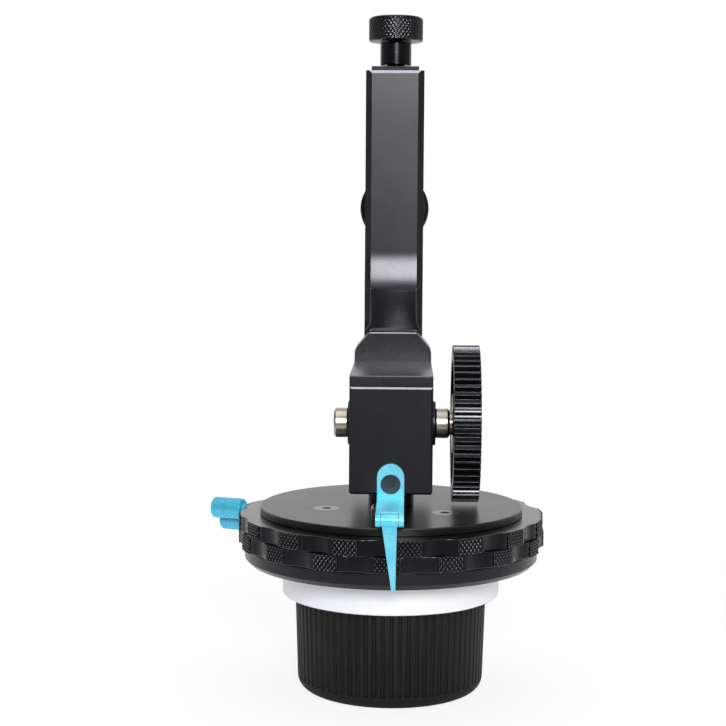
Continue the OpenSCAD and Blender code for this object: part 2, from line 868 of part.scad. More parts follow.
// Bracket: an upright on the gearbox, a bend and a leg with two ears
module pointer_bracket() {
    w = bracket_w/2;
    y_face = y_front - bracket_t;
    z_top = z_bend + bracket_h;
    leg_end = -needle_y + hinge_r + free_gap;
    color(BLUE)
    difference() {
        union() {
            translate([0, y_front, 0]) rotate([90, 0, 0]) linear_extrude(height = bracket_t) {
                translate([-w, z_leg]) square([bracket_w, z_top - w - z_leg]);
                translate([0, z_top - w]) circle(r = w);
            }
            translate([-w, leg_end, z_leg]) cube([bracket_w, y_front - leg_end, bracket_t]);
            for (x = [-w, w - ear_t]) translate([x, 0, 0]) {
                translate([0, leg_end - eps, hinge_z - hinge_r])
                    cube([ear_t, 2, z_bend - hinge_z + hinge_r]);
                translate([0, -needle_y, hinge_z - hinge_r])
                    cube([ear_t, hinge_r + free_gap + 1, 2*hinge_r]);
                translate([0, -needle_y, hinge_z]) x_rod(hinge_r, 0, ear_t);
            }
        }
        translate([0, y_face, bracket_screw_z]) rotate([90, 0, 0]) countersink(2.95, 1.5, 6);
        translate([0, -needle_y, hinge_z]) x_rod(hinge_pin_r + seat_gap, -w - 1, w + 1);
        translate([-2, y_face - 1.8, z_leg - 1]) cube([4, 0.8, bracket_t + 2]);
    }
}

module bracket_screw() {
    color(BLACK)
    translate([0, y_front - bracket_t, bracket_screw_z]) rotate([90, 0, 0])
        countersunk_screw(2.95, 1.5, bracket_screw_l, 1.1);
}

module hinge_pin() {
    color(STEEL)
    translate([0, -needle_y, hinge_z]) x_rod(hinge_pin_r, -bracket_w/2, bracket_w/2);
}

// Needle: a knuckle on the hinge pin and a blade that tapers to its tip
module pointer_needle() {
    knuckle_x = bracket_w/2 - ear_t - 0.1;
    root_x = min(needle_w/2, knuckle_x);
    tip_x = needle_tip_w/2;
    color(BLUE)
    translate([0, -needle_y, hinge_z])
    difference() {
        union() {
            x_rod(hinge_r, -knuckle_x, knuckle_x);
            translate([0, needle_t/2, 0]) rotate([90, 0, 0])
                linear_extrude(height = needle_t)
                    polygon([[-root_x, 0], [root_x, 0], [root_x, -hinge_r - 0.5],
                        [tip_offset + tip_x, -needle_l], [tip_offset - tip_x, -needle_l],
                        [-root_x, -hinge_r - 0.5]]);
        }
        x_rod(hinge_pin_r + run_gap, -knuckle_x - 1, knuckle_x + 1);
    }
}

// Cross-section of the arm with its front edges bevelled: front and back
// faces at y0 and y1, and the front face's half width
function arm_section(y0, y1, flat_x) = [[-flat_x, y0], [flat_x, y0],
    [arm_w/2, y0 + arm_w/2 - flat_x], [arm_w/2, y1], [-arm_w/2, y1],
    [-arm_w/2, y0 + arm_w/2 - flat_x]];

// Share of the way through a smooth bend, for t from 0 to 1
function ease(t) = (1 - cos(180*min(1, max(0, t))))/2;

// Front face and its half width at height z: the lower column curves back at
// its foot, where its bevels run out, and the jog sets the upper arm back
function arm_front(z) = y_column + jog*ease((z - z_jog)/jog_h)
    + lean*pow(max(0, 1 - (z - z_shoulder)/(z_jog - z_shoulder)), 2);
function arm_flat(z) = arm_w/2 - bevel_w
    + (bevel_w - 0.4)*pow(max(0, 1 - (z - z_shoulder)/flare_h), 2);

// Solid through a list of equal-sided outlines, one at each height
module loft(outlines, heights) {
    n = len(outlines[0]);
    last = len(outlines) - 1;
    polyhedron(
        points = [for (i = [0:last]) for (p = outlines[i]) [p[0], p[1], heights[i]]],
        faces = concat([[for (k = [0:n - 1]) k]], [[for (k = [n - 1:-1:0]) last*n + k]],
            [for (i = [0:last - 1]) for (k = [0:n - 1])
                [i*n + k, (i + 1)*n + k, (i + 1)*n + (k + 1)%n, i*n + (k + 1)%n]]));
}

// Front of the arm from the shoulder to just above the jog
module arm_front_loft() {
    steps = 34;
    top = z_jog + jog_h;
    heights = [for (i = [0:steps]) z_shoulder - arm_sink + (top - z_shoulder + arm_sink)*i/steps];
    y_core = y_upper + bevel_w + 0.5;
    loft([for (z = heights) arm_section(arm_front(max(z, z_shoulder)), y_core,
        arm_flat(max(z, z_shoulder)))], heights);
}

module arm_screw_places() {
    for (x = [-arm_screw_x, arm_screw_x]) translate([x, 0, arm_screw_z]) children();
}

module arm() {
    top = z_jog + jog_h;
    edge = 1;
    color(BLACK)
    difference() {
        union() {
            foot();
            shoulder();
            arm_front_loft();
            translate([0, 0, z_shoulder - arm_sink])
                linear_extrude(height = top - z_shoulder + arm_sink)
                polygon([[-arm_w/2, y_upper + bevel_w], [arm_w/2, y_upper + bevel_w],
                    [arm_w/2, lug_back], [-arm_w/2, lug_back]]);
            arm_back();
            translate([0, 0, top - eps]) linear_extrude(height = z_arm_top - top + eps)
                polygon(arm_section(y_upper, y_arm_back, arm_w/2 - bevel_w));
        }
        translate([-groove_w/2, y_arm_back - groove_t, z_tongue - free_gap])
            cube([groove_w, groove_t + 1, z_arm_top]);
        translate([0, y_upper, z_arm_top]) rotate([45, 0, 0])
            cube([2*arm_w, edge*sqrt(2), edge*sqrt(2)], center = true);
        translate([0, 0, knob_z]) y_rod(stud_r + seat_gap, y_upper + stud_front - 1, y_arm_back);
        arm_screw_places() {
            y_rod(arm_screw_r + seat_gap, box_y - 1, lug_back + 1);
            y_rod(arm_screw_head_r + 0.2, lug_back - arm_screw_recess, lug_back + 1);
        }
    }
}

// Foot on the gearbox, with a round front edge
module foot() {
    rotate([90, 0, 90]) translate([0, 0, -box_x])
        linear_extrude(height = box_w) {
            translate([-box_y + foot_inset + foot_edge, z_foot]) square([box_d, foot_t]);
            translate([-box_y + foot_inset, z_foot]) square([box_d, foot_t - foot_edge]);
            translate([-box_y + foot_inset + foot_edge, z_foot_top - foot_edge])
                circle(r = foot_edge);
        }
}

// Block behind the gearbox that carries the arm: each shoulder is a slope
// between two round corners
module shoulder() {
    low = [box_x - shoulder_low_r, z_shoulder - shoulder_cut[1]];
    high = [box_x - shoulder_cut[0], z_shoulder - shoulder_high_r];
    run = high - low;
    slope = atan2(run[1], run[0]) - acos((shoulder_low_r - shoulder_high_r)/norm(run));
    way = [cos(slope), sin(slope)];
    side = [[box_x, z_lug], [box_x, low[1]], low + shoulder_low_r*way,
        high + shoulder_high_r*way, [high[0], z_shoulder]];
    translate([0, lug_back, 0]) rotate([90, 0, 0])
        linear_extrude(height = lug_back - box_y) {
            for (x = [-1, 1]) {
                translate([x*low[0], low[1]]) circle(r = shoulder_low_r);
                translate([x*high[0], high[1]]) circle(r = shoulder_high_r);
            }
            polygon(concat(side, [for (i = [4:-1:0]) [-side[i][0], side[i][1]]]));
        }
}

// Back of the arm, which follows the jog
module arm_back() {
    rise = y_arm_back - lug_back;
    rotate([90, 0, 90]) translate([0, 0, -arm_w/2])
        linear_extrude(height = arm_w)
            polygon([[lug_back - 1, z_shoulder], [lug_back, z_shoulder],
                [y_arm_back, z_shoulder + rise], [y_arm_back, z_jog + jog_h],
                [lug_back - 1, z_jog + jog_h]]);
}

module arm_screws() {
    color(STEEL)
    arm_screw_places() translate([0, lug_back - arm_screw_recess, 0]) rotate([-90, 0, 0])
        cap_screw(arm_screw_head_r, arm_screw_recess - 0.4, arm_screw_r,
            lug_back - arm_screw_recess - box_y + arm_screw_grip);
}

// Tongue plate that slides in the arm's groove and carries the clamp
module slide_tongue() {
    edge = 0.8;
    color(BLACK)
    difference() {
        rotate([90, 0, 90]) translate([0, 0, -clamp_w/2])
            linear_extrude(height = clamp_w)
                polygon([[y_tongue, z_tongue], [y_slide_back, z_tongue],
                    [y_slide_back, z_clamp_top], [y_tongue + edge, z_clamp_top],
                    [y_tongue, z_clamp_top - edge]]);
        hull() for (z = [z_slot_foot, knob_z + 0.2]) translate([0, 0, z])
            y_rod(slot_r, y_tongue - 1, y_slide_back + 1);
        tongue_screw_places() countersink(tongue_screw_head_r, tongue_screw_r, 20);
    }
}

// Where the screws through the tongue start, with +Z to the front
module tongue_screw_places() {
    for (x = [-4.5, 4.5], z = [z_clamp_foot + clamp_lower_jaw/2, z_clamp_top - 4])
        translate([x, y_tongue, z]) rotate([90, 0, 0]) children();
}

module tongue_screws() {
    color(STEEL)
    tongue_screw_places() countersunk_screw(tongue_screw_head_r, tongue_screw_r,
        y_slide_back - y_tongue + tongue_screw_grip, 0.8);
}

// Clamp block with the rod's seat, which is open to the back
module clamp_slide() {
    block_back = rod_y + jaw_reach;
    edge = 0.8;
    color(BLACK)
    difference() {
        rotate([90, 0, 90]) translate([0, 0, -clamp_w/2])
            linear_extrude(height = clamp_w)
                difference() {
                    polygon([[y_slide_back + seat_gap, z_clamp_foot],
                        [block_back, z_clamp_foot], [block_back, z_clamp_top - edge],
                        [block_back - edge, z_clamp_top],
                        [y_slide_back + seat_gap, z_clamp_top]]);
                    translate([rod_y, rod_z]) circle(r = rod_seat_r);
                    translate([rod_y, rod_z - rod_seat_r])
                        square([jaw_reach + 1, 2*rod_seat_r]);
                }
        translate([0, rod_y, rod_z])
            cylinder(r = clamp_screw_r + run_gap, h = z_clamp_top - rod_z + 1);
        translate([0, rod_y, rod_z])
            cylinder(r = pad_r + run_gap, h = rod_seat_r + pad_recess);
        tongue_screw_places() translate([0, 0, -y_slide_back + y_tongue - tongue_screw_grip - 0.3])
            cylinder(r = tongue_screw_r + seat_gap, h = tongue_screw_grip + 1);
    }
}

module pressure_pad() {
    color(BRONZE)
    translate([0, rod_y, z_pad]) chamfered_rod(pad_r, pad_t, foot = 0.4);
}

// Clamping screw: a threaded shank, a plain neck and a knurled head
module clamp_screw() {
    color(BLACK)
    translate([0, rod_y, 0]) {
        translate([0, 0, z_pad + pad_t])
            cylinder(r = clamp_screw_r, h = z_screw_neck - z_pad - pad_t + eps);
        translate([0, 0, z_screw_neck]) cylinder(r = screw_neck_d/2, h = screw_neck_l + eps);
        translate([0, 0, z_head]) chamfered_rod(head_d/2, head_h, top = 0.9, foot = 0.5);
    }
}

module knob_stud() {
    color(STEEL)
    translate([0, 0, knob_z]) y_rod(stud_r, y_upper + stud_front, y_knob + knob_t - 2);
}

module knob_washer() {
    color(STEEL)
    translate([0, 0, knob_z]) difference() {
        y_rod(washer_r, y_washer, y_washer + washer_t);
        y_rod(stud_r + seat_gap, y_washer - 1, y_washer + 2);
    }
}

module lock_knob() {
    color(BLACK)
    translate([0, y_knob, knob_z]) rotate([-90, 0, 0])
        difference() {
            chamfered_rod(knob_d/2, knob_t, top = 0.8, foot = 0.8);
            translate([0, 0, -1]) cylinder(r = stud_r + run_gap, h = knob_t);
        }
}

grip_rubber();
grip_core();
marking_disc();
wheel_plate();
core_screws();
wheel_shaft();
wheel_bolt();
stop_dog();
wheel_mitre_gear();
stop_hub();
neck_carrier();
carrier_screws();
lower_bush();
upper_bush();
top_plate();
plate_screws();
detent_button();
lower_stop_ring();
lower_stop_lug();
lower_lock_screw();
upper_stop_ring();
upper_stop_lug();
upper_lock_screw();
gearbox_housing();
left_bearing();
right_bearing();
left_bearing_flange();
right_bearing_flange();
output_shaft();
shaft_mitre_gear();
drive_gear();
gear_spindle();
gear_screw();
pointer_bracket();
bracket_screw();
hinge_pin();
pointer_needle();
arm();
arm_screws();
slide_tongue();
tongue_screws();
clamp_slide();
pressure_pad();
clamp_screw();
knob_stud();
knob_washer();
lock_knob();
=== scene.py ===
import math

import bmesh
import bpy
from mathutils import Euler, Matrix, Vector


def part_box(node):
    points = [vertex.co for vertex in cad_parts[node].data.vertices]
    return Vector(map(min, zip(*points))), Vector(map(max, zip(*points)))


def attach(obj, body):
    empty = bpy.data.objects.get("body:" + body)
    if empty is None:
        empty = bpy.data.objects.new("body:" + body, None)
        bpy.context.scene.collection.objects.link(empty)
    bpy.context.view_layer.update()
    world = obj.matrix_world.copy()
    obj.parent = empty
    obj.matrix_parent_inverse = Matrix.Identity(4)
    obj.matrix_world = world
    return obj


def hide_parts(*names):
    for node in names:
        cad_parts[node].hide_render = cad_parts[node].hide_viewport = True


mm = 0.001

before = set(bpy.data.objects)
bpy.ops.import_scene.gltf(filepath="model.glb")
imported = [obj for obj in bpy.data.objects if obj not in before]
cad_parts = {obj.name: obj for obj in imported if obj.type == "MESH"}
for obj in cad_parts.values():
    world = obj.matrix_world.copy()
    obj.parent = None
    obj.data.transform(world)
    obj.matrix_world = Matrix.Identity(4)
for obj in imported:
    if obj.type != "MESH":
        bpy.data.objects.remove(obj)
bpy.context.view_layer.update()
print("frame loaded:", len(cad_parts), "nodes")


# Shader maths: an expression on wires adds the Math nodes it needs
class Wire:
    def __init__(self, recipe, socket):
        self.recipe, self.socket = recipe, socket

    def math(self, operation, *values):
        return self.recipe.node("ShaderNodeMath", {"operation": operation}, *values)

    def __add__(self, other):
        return self.math("ADD", self, other)

    def __sub__(self, other):
        return self.math("SUBTRACT", self, other)

    def __rsub__(self, other):
        return self.math("SUBTRACT", other, self)

    def __mul__(self, other):
        return self.math("MULTIPLY", self, other)

    def __truediv__(self, other):
        return self.math("DIVIDE", self, other)

    def __pow__(self, other):
        return self.math("POWER", self, other)

    __radd__ = __add__
    __rmul__ = __mul__

    def clamped(self):
        return self.recipe.node("ShaderNodeClamp", {}, self)

    def smooth(self, low, high):  # 0 below low, 1 above high
        return self.recipe.node("ShaderNodeMapRange", {"interpolation_type": "SMOOTHSTEP"},
                                self, low, high, 0.0, 1.0)


# A node tree that is filled node by node
class Recipe:
    def __init__(self, tree):
        self.tree = tree
        tree.nodes.clear()

    def node(self, kind, settings, *values, out=0, **named):
        made = self.tree.nodes.new(kind)
        for key, value in settings.items():
            setattr(made, key, value)
        for index, value in list(enumerate(values)) + list(named.items()):
            self.feed(made.inputs[index], value)
        return Wire(self, made.outputs[out])

    def feed(self, socket, value):
        if isinstance(value, Wire):
            self.tree.links.new(value.socket, socket)
        elif value is not None:
            socket.default_value = value

    def place(self):  # object coordinates, in metres
        return self.node("ShaderNodeTexCoord", {}, out="Object")

    def axes(self, spot):
        made = self.tree.nodes.new("ShaderNodeSeparateXYZ")
        self.feed(made.inputs[0], spot)
        return [Wire(self, output) for output in made.outputs]

    def noise(self, spot, scale, detail=3.0, roughness=0.5):
        return self.node("ShaderNodeTexNoise", {"noise_dimensions": "3D"}, Vector=spot, Scale=scale,
                         Detail=detail, Roughness=roughness)

    def tint(self, factor, low, high):  # colours are (r, g, b) or wires
        made = self.tree.nodes.new("ShaderNodeMix")
        made.data_type = "RGBA"
        for index, value in ((0, factor), (6, low), (7, high)):
            self.feed(made.inputs[index], (*value, 1) if isinstance(value, tuple) else value)
        return Wire(self, made.outputs[2])

    def bump(self, height, depth):
        return self.node("ShaderNodeBump", {}, Height=height, Distance=depth, Strength=1.0)


def shade(hexColour):
    parts = [int(hexColour[i:i + 2], 16) / 255 for i in (1, 3, 5)]
    return tuple(p / 12.92 if p <= 0.04045 else ((p + 0.055) / 1.055) ** 2.4 for p in parts)


def finish(name, build):
    material = bpy.data.materials.new(name)
    material.use_nodes = True
    recipe = Recipe(material.node_tree)
    surface = {"Metallic": 0.0, "Roughness": 0.5}
    surface.update(build(recipe))
    shader = recipe.tree.nodes.new("ShaderNodeBsdfPrincipled")
    for key, value in surface.items():
        recipe.feed(shader.inputs[key], value)
    end = recipe.tree.nodes.new("ShaderNodeOutputMaterial")
    recipe.tree.links.new(shader.outputs[0], end.inputs[0])
    return material


# ---- finishes

anodised = {
    "satin": shade("#0c0c0f"), "satinRough": 0.28,
    "gloss": shade("#08080a"), "glossRough": 0.21,
    "grain": 0.00022, "grainDepth": 0.000003,
    "dust": shade("#3a3a3e"),
}


def blackAnodised(name, tone, rough, grain, depth, level=0.5, tint=(0.92, 0.92, 1.0)):
    def build(r):
        spot = r.place()
        fine = r.noise(spot, 1 / grain, 2.0)
        broad = r.noise(spot, 60.0, 3.0)
        specks = r.noise(spot, 2400.0, 1.0).smooth(0.66, 0.74)
        worn = (broad * 0.5 + fine * 0.5).smooth(0.35, 0.75)
        colour = r.tint(worn * 0.5, tone, tuple(c * 1.7 + 0.002 for c in tone))
        colour = r.tint(specks * 0.10, colour, anodised["dust"])
        return {
            "Base Color": colour,
            "Roughness": rough + (broad - 0.5) * 0.08 + (fine - 0.5) * 0.10,
            "Normal": r.bump(fine, depth),
            "Specular IOR Level": level,
            "Specular Tint": (*tint, 1),
        }
    return finish(name, build)


def turnedSteel(name, tone="#bdb9b4", rough=0.26, axis=0, pitch=0.00012):
    def build(r):
        spot = r.place()
        along = r.axes(spot)[axis]
        turned = r.node("ShaderNodeTexNoise", {"noise_dimensions": "1D"}, W=along / pitch,
                        Scale=1.0, Detail=2.0)
        stain = r.noise(spot, 380.0, 3.0)
        base = shade(tone)
        return {
            "Base Color": r.tint(stain.smooth(0.42, 0.75) * 0.2, base,
                                 tuple(c * 0.55 for c in base)),
            "Roughness": rough + (turned - 0.5) * 0.05 + (stain - 0.5) * 0.05,
            "Metallic": 1.0,
            "Normal": r.bump(turned, 0.0000006),
        }
    return finish(name, build)


def blueAnodised(name, tone, light):
    def build(r):
        spot = r.place()
        fine = r.noise(spot, 4200.0, 2.0)
        # fine near-white specks painted into the base colour stand in for the metal's sparkle:
        # painted glints
        paintedGlints = r.noise(spot, 5200.0, 0.0).smooth(0.60, 0.72)
        broad = r.noise(spot, 160.0, 2.0)
        colour = r.tint(broad.smooth(0.3, 0.7) * 0.45, shade(tone), shade(light))
        # the painted glints are mixed into the colour as near-white #d8f6fc
        colour = r.tint(paintedGlints * 0.5, colour, shade("#d8f6fc"))
        return {
            "Base Color": colour,
            "Roughness": 0.36 + (fine - 0.5) * 0.22,
            "Metallic": 0.35,
            "Normal": r.bump(fine, 0.000008),
        }
    return finish(name, build)


def ribbedRubber(name):
    def build(r):
        spot = r.place()
        skin = r.noise(spot, 2600.0, 3.0, 0.6)
        broad = r.noise(spot, 90.0, 3.0)
        dust = (broad * 0.7 + skin * 0.3).smooth(0.52, 0.8)
        return {
            "Base Color": r.tint(dust * 0.30, shade("#0b0b0c"), shade("#202022")),
            "Roughness": 0.58 + (skin - 0.5) * 0.22,
            "Specular IOR Level": 0.3,
            "Normal": r.bump(skin, 0.000015),
        }
    return finish(name, build)


def whitePlastic(name):
    def build(r):
        spot = r.place()
        skin = r.noise(spot, 900.0, 2.0)
        broad = r.noise(spot, 30.0, 2.0)
        return {
            "Base Color": r.tint(broad.smooth(0.3, 0.7), shade("#e6e7ee"), shade("#f0f0f4")),
            "Roughness": 0.42 + (skin - 0.5) * 0.08,
            "Normal": r.bump(skin, 0.000008),
        }
    return finish(name, build)


def bushBronze(name):
    def build(r):
        spot = r.place()
        pores = r.noise(spot, 3200.0, 2.0)
        return {
            "Base Color": r.tint(pores.smooth(0.45, 0.62), shade("#7a5a38"), shade("#b58b58")),
            "Roughness": 0.34 + (pores - 0.5) * 0.2,
            "Metallic": 0.9,
            "Normal": r.bump(pores, 0.000012),
        }
    return finish(name, build)


satin = blackAnodised("satinAnodised", anodised["satin"], anodised["satinRough"],
                      anodised["grain"], anodised["grainDepth"])
blockBlack = blackAnodised("blastedAnodised", anodised["satin"], 0.36, 0.0005, 0.000016, 0.42)
gloss = blackAnodised("glossAnodised", anodised["gloss"], anodised["glossRough"], 0.0004, 0.000002)
plateBlack = blackAnodised("plateAnodised", anodised["satin"], 0.33, anodised["grain"],
                           anodised["grainDepth"], 0.66, (1, 1, 1))
armBlack = blackAnodised("armAnodised", anodised["satin"], 0.29, anodised["grain"],
                         anodised["grainDepth"], 0.7)
slideBlack = blackAnodised("slideAnodised", anodised["gloss"], 0.16, anodised["grain"],
                           0.000001, 0.3)
headOxide = blackAnodised("headOxide", shade("#1d242c"), 0.3, 0.0003, 0.000003, 0.6)
cutBright = turnedSteel("cutEdges", "#b0aeb8", 0.2, 0)
brightEdge = blackAnodised("brightEdges", anodised["gloss"], 0.2, 0.0004, 0.000001, 1.0)
blackOxide = blackAnodised("blackOxide", shade("#0b0b0c"), 0.3, 0.0003, 0.000003)
steelAcross = turnedSteel("turnedSteelX", "#cdc3b6", 0.32, 0)
steelUp = turnedSteel("turnedSteelZ", axis=2)
screwSilver = turnedSteel("screwSilver", "#8f8f92", 0.34, 2)
cyan = blueAnodised("cyanAnodised", "#4ac6e2", "#94e2f2")
cyanKnob = blueAnodised("cyanKnobs", "#26b0d4", "#4ac4e0")
rubber = ribbedRubber("gripRubber")
white = whitePlastic("whiteDisc")
bronze = bushBronze("sinteredBronze")
print("finishes made")

nodeFinish = {
    rubber: ["grip_rubber"],
    white: ["marking_disc"],
    satin: ["grip_core", "neck_carrier", "stop_hub", "wheel_plate"],
    armBlack: ["arm"],
    slideBlack: ["slide_tongue", "clamp_slide"],
    plateBlack: ["top_plate"],
    blockBlack: ["gearbox_housing", "left_bearing_flange", "right_bearing_flange"],
    gloss: ["lower_stop_ring", "upper_stop_ring", "drive_gear", "clamp_screw", "lock_knob"],
    blackOxide: ["arm_screws", "tongue_screws"],
    headOxide: ["bracket_screw"],
    steelAcross: ["output_shaft", "left_bearing", "right_bearing", "shaft_mitre_gear",
                  "gear_spindle", "gear_screw", "hinge_pin", "upper_stop_lug", "lower_stop_lug"],
    steelUp: ["core_screws", "wheel_shaft", "wheel_bolt", "stop_dog", "wheel_mitre_gear",
              "carrier_screws", "detent_button", "knob_stud", "knob_washer"],
    screwSilver: ["plate_screws"],
    cyan: ["pointer_bracket", "pointer_needle"],
    cyanKnob: ["upper_lock_screw", "lower_lock_screw"],
    bronze: ["lower_bush", "upper_bush", "pressure_pad"],
}


def dress(piece, material):
    piece.data.materials.clear()
    piece.data.materials.append(material)


nodeOf = {}
for material, names in nodeFinish.items():
    for name in names:
        dress(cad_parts[name], material)
        nodeOf[name] = material
missing = [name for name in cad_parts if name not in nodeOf]
print("nodes without a finish:", missing)


# ---- pieces

def newPiece(name, mesh, material, body, slotName, *nodes, second=None):
    data = bpy.data.meshes.new(name)
    data.materials.append(material)
    if second:
        data.materials.append(second)
    mesh.to_mesh(data)
    mesh.free()
    piece = bpy.data.objects.new(name, data)
    bpy.context.collection.objects.link(piece)
    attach(piece, body)
    if nodes:
        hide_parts(*nodes)
    return piece


# Edges of the arm whose cut shows bright: the outline of its block and the sides of its column
arm = {"blockFront": 23.5, "blockLow": 101.0, "columnLow": 108.0, "columnTop": 122.6,
       "columnBack": 30.0, "columnFront": 33.2, "columnSide": 7.0, "near": 0.02, "cut": 0.3}

sharp = math.radians(28)  # faces that meet at more than this have an edge between them
knurlSharp = math.radians(30)


def cutEdges(mesh):
    def onBlock(spot):
        return (abs(spot.y - arm["blockFront"] * mm) < arm["near"] * mm
                and spot.z > arm["blockLow"] * mm)

    def onColumn(spot):
        return (arm["columnLow"] * mm < spot.z < arm["columnTop"] * mm
                and arm["columnBack"] * mm < spot.y < arm["columnFront"] * mm
                and abs(spot.x) > arm["columnSide"] * mm)

    picked = [edge for edge in mesh.edges if edge.calc_face_angle(0) > sharp
              and (all(onBlock(v.co) for v in edge.verts)
                   or all(onColumn(v.co) for v in edge.verts))]
    bmesh.ops.bevel(mesh, geom=picked, offset=arm["cut"] * mm, offset_type="OFFSET", segments=1,
                    profile=0.5, affect="EDGES", material=1, clamp_overlap=False)
    print("cut edges on the arm:", len(picked))


weld = {"dist": 2e-6, "flat": math.radians(0.05), "turnedDist": 1e-6}
shoulder = {"way": Vector((0, -1, 1)).normalized(), "within": 0.99}


# A copy of a machined node with its sharp edges rounded off; its bright cuts take the shine
def brokenEdges(node, name, body, slotName, width, shine=None):
    mesh = bmesh.new()
    mesh.from_mesh(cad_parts[node].data)
    bmesh.ops.remove_doubles(mesh, verts=mesh.verts, dist=weld["dist"])
    bmesh.ops.dissolve_limit(mesh, angle_limit=weld["flat"], verts=mesh.verts, edges=mesh.edges)
    if node == "arm":
        cutEdges(mesh)
    for face in mesh.faces:
        face.smooth = True
        if shine == cutBright and face.normal.dot(shoulder["way"]) > shoulder["within"]:
            face.material_index = 1
    for edge in mesh.edges:
        edge.smooth = edge.calc_face_angle(0) < sharp
    piece = newPiece(name, mesh, nodeOf[node], body, slotName, node, second=shine)
    rounding = piece.modifiers.new("edges", "BEVEL")
    rounding.width = width
    rounding.segments = 3
    rounding.limit_method = "ANGLE"
    rounding.angle_limit = sharp
    rounding.harden_normals = True
    rounding.use_clamp_overlap = True
    rounding.material = 1 if shine == brightEdge else -1


edgeBreaks = {
    "arm": ("armBar", "frame", "black_anodised", 0.2, cutBright),
    "gearbox_housing": ("gearboxBlock", "frame", "black_anodised", 0.2, cutBright),
    "top_plate": ("topPlate", "frame", "black_anodised", 0.15),
    "wheel_plate": ("wheelPlate", "handwheel", "black_anodised", 0.08),
    "slide_tongue": ("slideTongue", "slide", "black_anodised", 0.2),
    "clamp_slide": ("clampBlock", "slide", "black_anodised", 0.3, brightEdge),
    "pointer_bracket": ("pointerBracket", "frame", "blue_anodised", 0.15),
    "pointer_needle": ("pointerNeedle", "needle", "blue_anodised", 0.12),
    "upper_stop_ring": ("upperStopRing", "upper_stop", "black_anodised", 0.22, brightEdge),
    "lower_stop_ring": ("lowerStopRing", "lower_stop", "black_anodised", 0.22, brightEdge),
    "upper_lock_screw": ("upperLockKnob", "upper_lock", "blue_anodised", 0.25),
    "lower_lock_screw": ("lowerLockKnob", "lower_lock", "blue_anodised", 0.25),
    "drive_gear": ("driveGear", "drive_shaft", "black_anodised", 0.12),
    "lock_knob": ("rearKnob", "knob", "black_anodised", 0.4),
    "marking_disc": ("markingDisc", "handwheel", "white_plastic", 0.3),
    "output_shaft": ("outputShaft", "drive_shaft", "steel", 0.1),
    "gear_spindle": ("gearSpindle", "drive_shaft", "steel", 0.1),
    "left_bearing_flange": ("leftFlange", "frame", "black_anodised", 0.12),
    "right_bearing_flange": ("rightFlange", "frame", "black_anodised", 0.12),
    "neck_carrier": ("neckCarrier", "frame", "black_anodised", 0.12),
    "detent_button": ("detentButton", "frame", "steel", 0.05),
    "plate_screws": ("plateScrews", "frame", "steel", 0.06),
    "bracket_screw": ("bracketScrew", "frame", "black_steel", 0.06),
}
for node, (name, body, slotName, width, *shine) in edgeBreaks.items():
    brokenEdges(node, name, body, slotName, width * mm, *shine)
print("edges broken on", len(edgeBreaks), "pieces")


knurlCrest = 0.66  # where the flanks of a diamond are cut off


# Height of a diamond knurl, 0 in its grooves and 1 on its points; u and v count diamonds
def knurl(u, v):
    ramps = [1 - abs(2 * (way % 1) - 1) for way in (u + v, u - v)]
    return min(knurlCrest, *ramps) / knurlCrest


# Solid turned from a profile of (radius, height) round a line up through spot
def turned(profile, spot, steps):
    mesh = bmesh.new()
    corners = [mesh.verts.new((r * mm, 0, z * mm)) for r, z in profile]
    edges = [mesh.edges.new(pair) for pair in zip(corners, corners[1:])]
    bmesh.ops.spin(mesh, geom=corners + edges, cent=(0, 0, 0), axis=(0, 0, 1), steps=steps,
                   angle=math.tau, use_merge=True)
    bmesh.ops.remove_doubles(mesh, verts=mesh.verts, dist=weld["turnedDist"])
    bmesh.ops.recalc_face_normals(mesh, faces=mesh.faces)
    bmesh.ops.translate(mesh, verts=mesh.verts, vec=Vector((spot[0], spot[1], 0)))
    return mesh


thumbscrew = {"headR": 9.0, "headH": 8.1, "round": 1.1, "neckR": 5.2, "neckH": 7.8, "shankR": 3.0,
              "around": 42, "rows": 3.5, "depth": 0.3, "fine": 8}


def addThumbscrew():
    t = thumbscrew
    low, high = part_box("clamp_screw")
    spot = ((low.x + high.x) / 2, (low.y + high.y) / 2)
    top = high.z / mm
    foot = top - t["headH"]
    bandLow, bandHigh = foot + 0.6, top - 1.0
    profile = [(0, low.z / mm), (t["shankR"], low.z / mm), (t["shankR"], foot - t["neckH"]),
               (t["neckR"] - 0.3, foot - t["neckH"]), (t["neckR"], foot - t["neckH"] + 0.3),
               (t["neckR"], foot - 0.25), (t["neckR"] + 0.25, foot), (t["headR"] - 0.8, foot),
               (t["headR"] - 0.25, foot + 0.15), (t["headR"], foot + 0.5)]
    rows = round(t["fine"] * t["rows"])
    profile += [(t["headR"], bandLow + (bandHigh - bandLow) * i / rows) for i in range(rows + 1)]
    for i in range(6):
        a = math.radians(18 * i)
        profile.append((t["headR"] - t["round"] * (1 - math.cos(a)),
                        top - t["round"] + t["round"] * math.sin(a)))
    profile += [(6.4, top), (6.0, top - 0.12), (0, top - 0.12)]
    mesh = turned(profile, spot, t["fine"] * t["around"])
    for vert in mesh.verts:
        x, y, z = vert.co.x - spot[0], vert.co.y - spot[1], vert.co.z / mm
        if bandLow - 0.01 <= z <= bandHigh + 0.01 and math.hypot(x, y) > (t["headR"] - 0.05) * mm:
            around = math.atan2(y, x) / math.tau * t["around"]
            up = (z - bandLow) / (bandHigh - bandLow) * t["rows"]
            sink = t["depth"] * (1 - knurl(around, up)) ** 2 * mm / math.hypot(x, y)
            vert.co.x -= x * sink
            vert.co.y -= y * sink
    for face in mesh.faces:
        face.smooth = True
        face.material_index = int(bandLow < face.calc_center_median().z / mm < bandHigh)
    for edge in mesh.edges:
        edge.smooth = edge.calc_face_angle(0) < knurlSharp
    newPiece("thumbscrew", mesh, gloss, "clamp_thumbscrew", "black_anodised", "clamp_screw",
             second=brightEdge)


addThumbscrew()

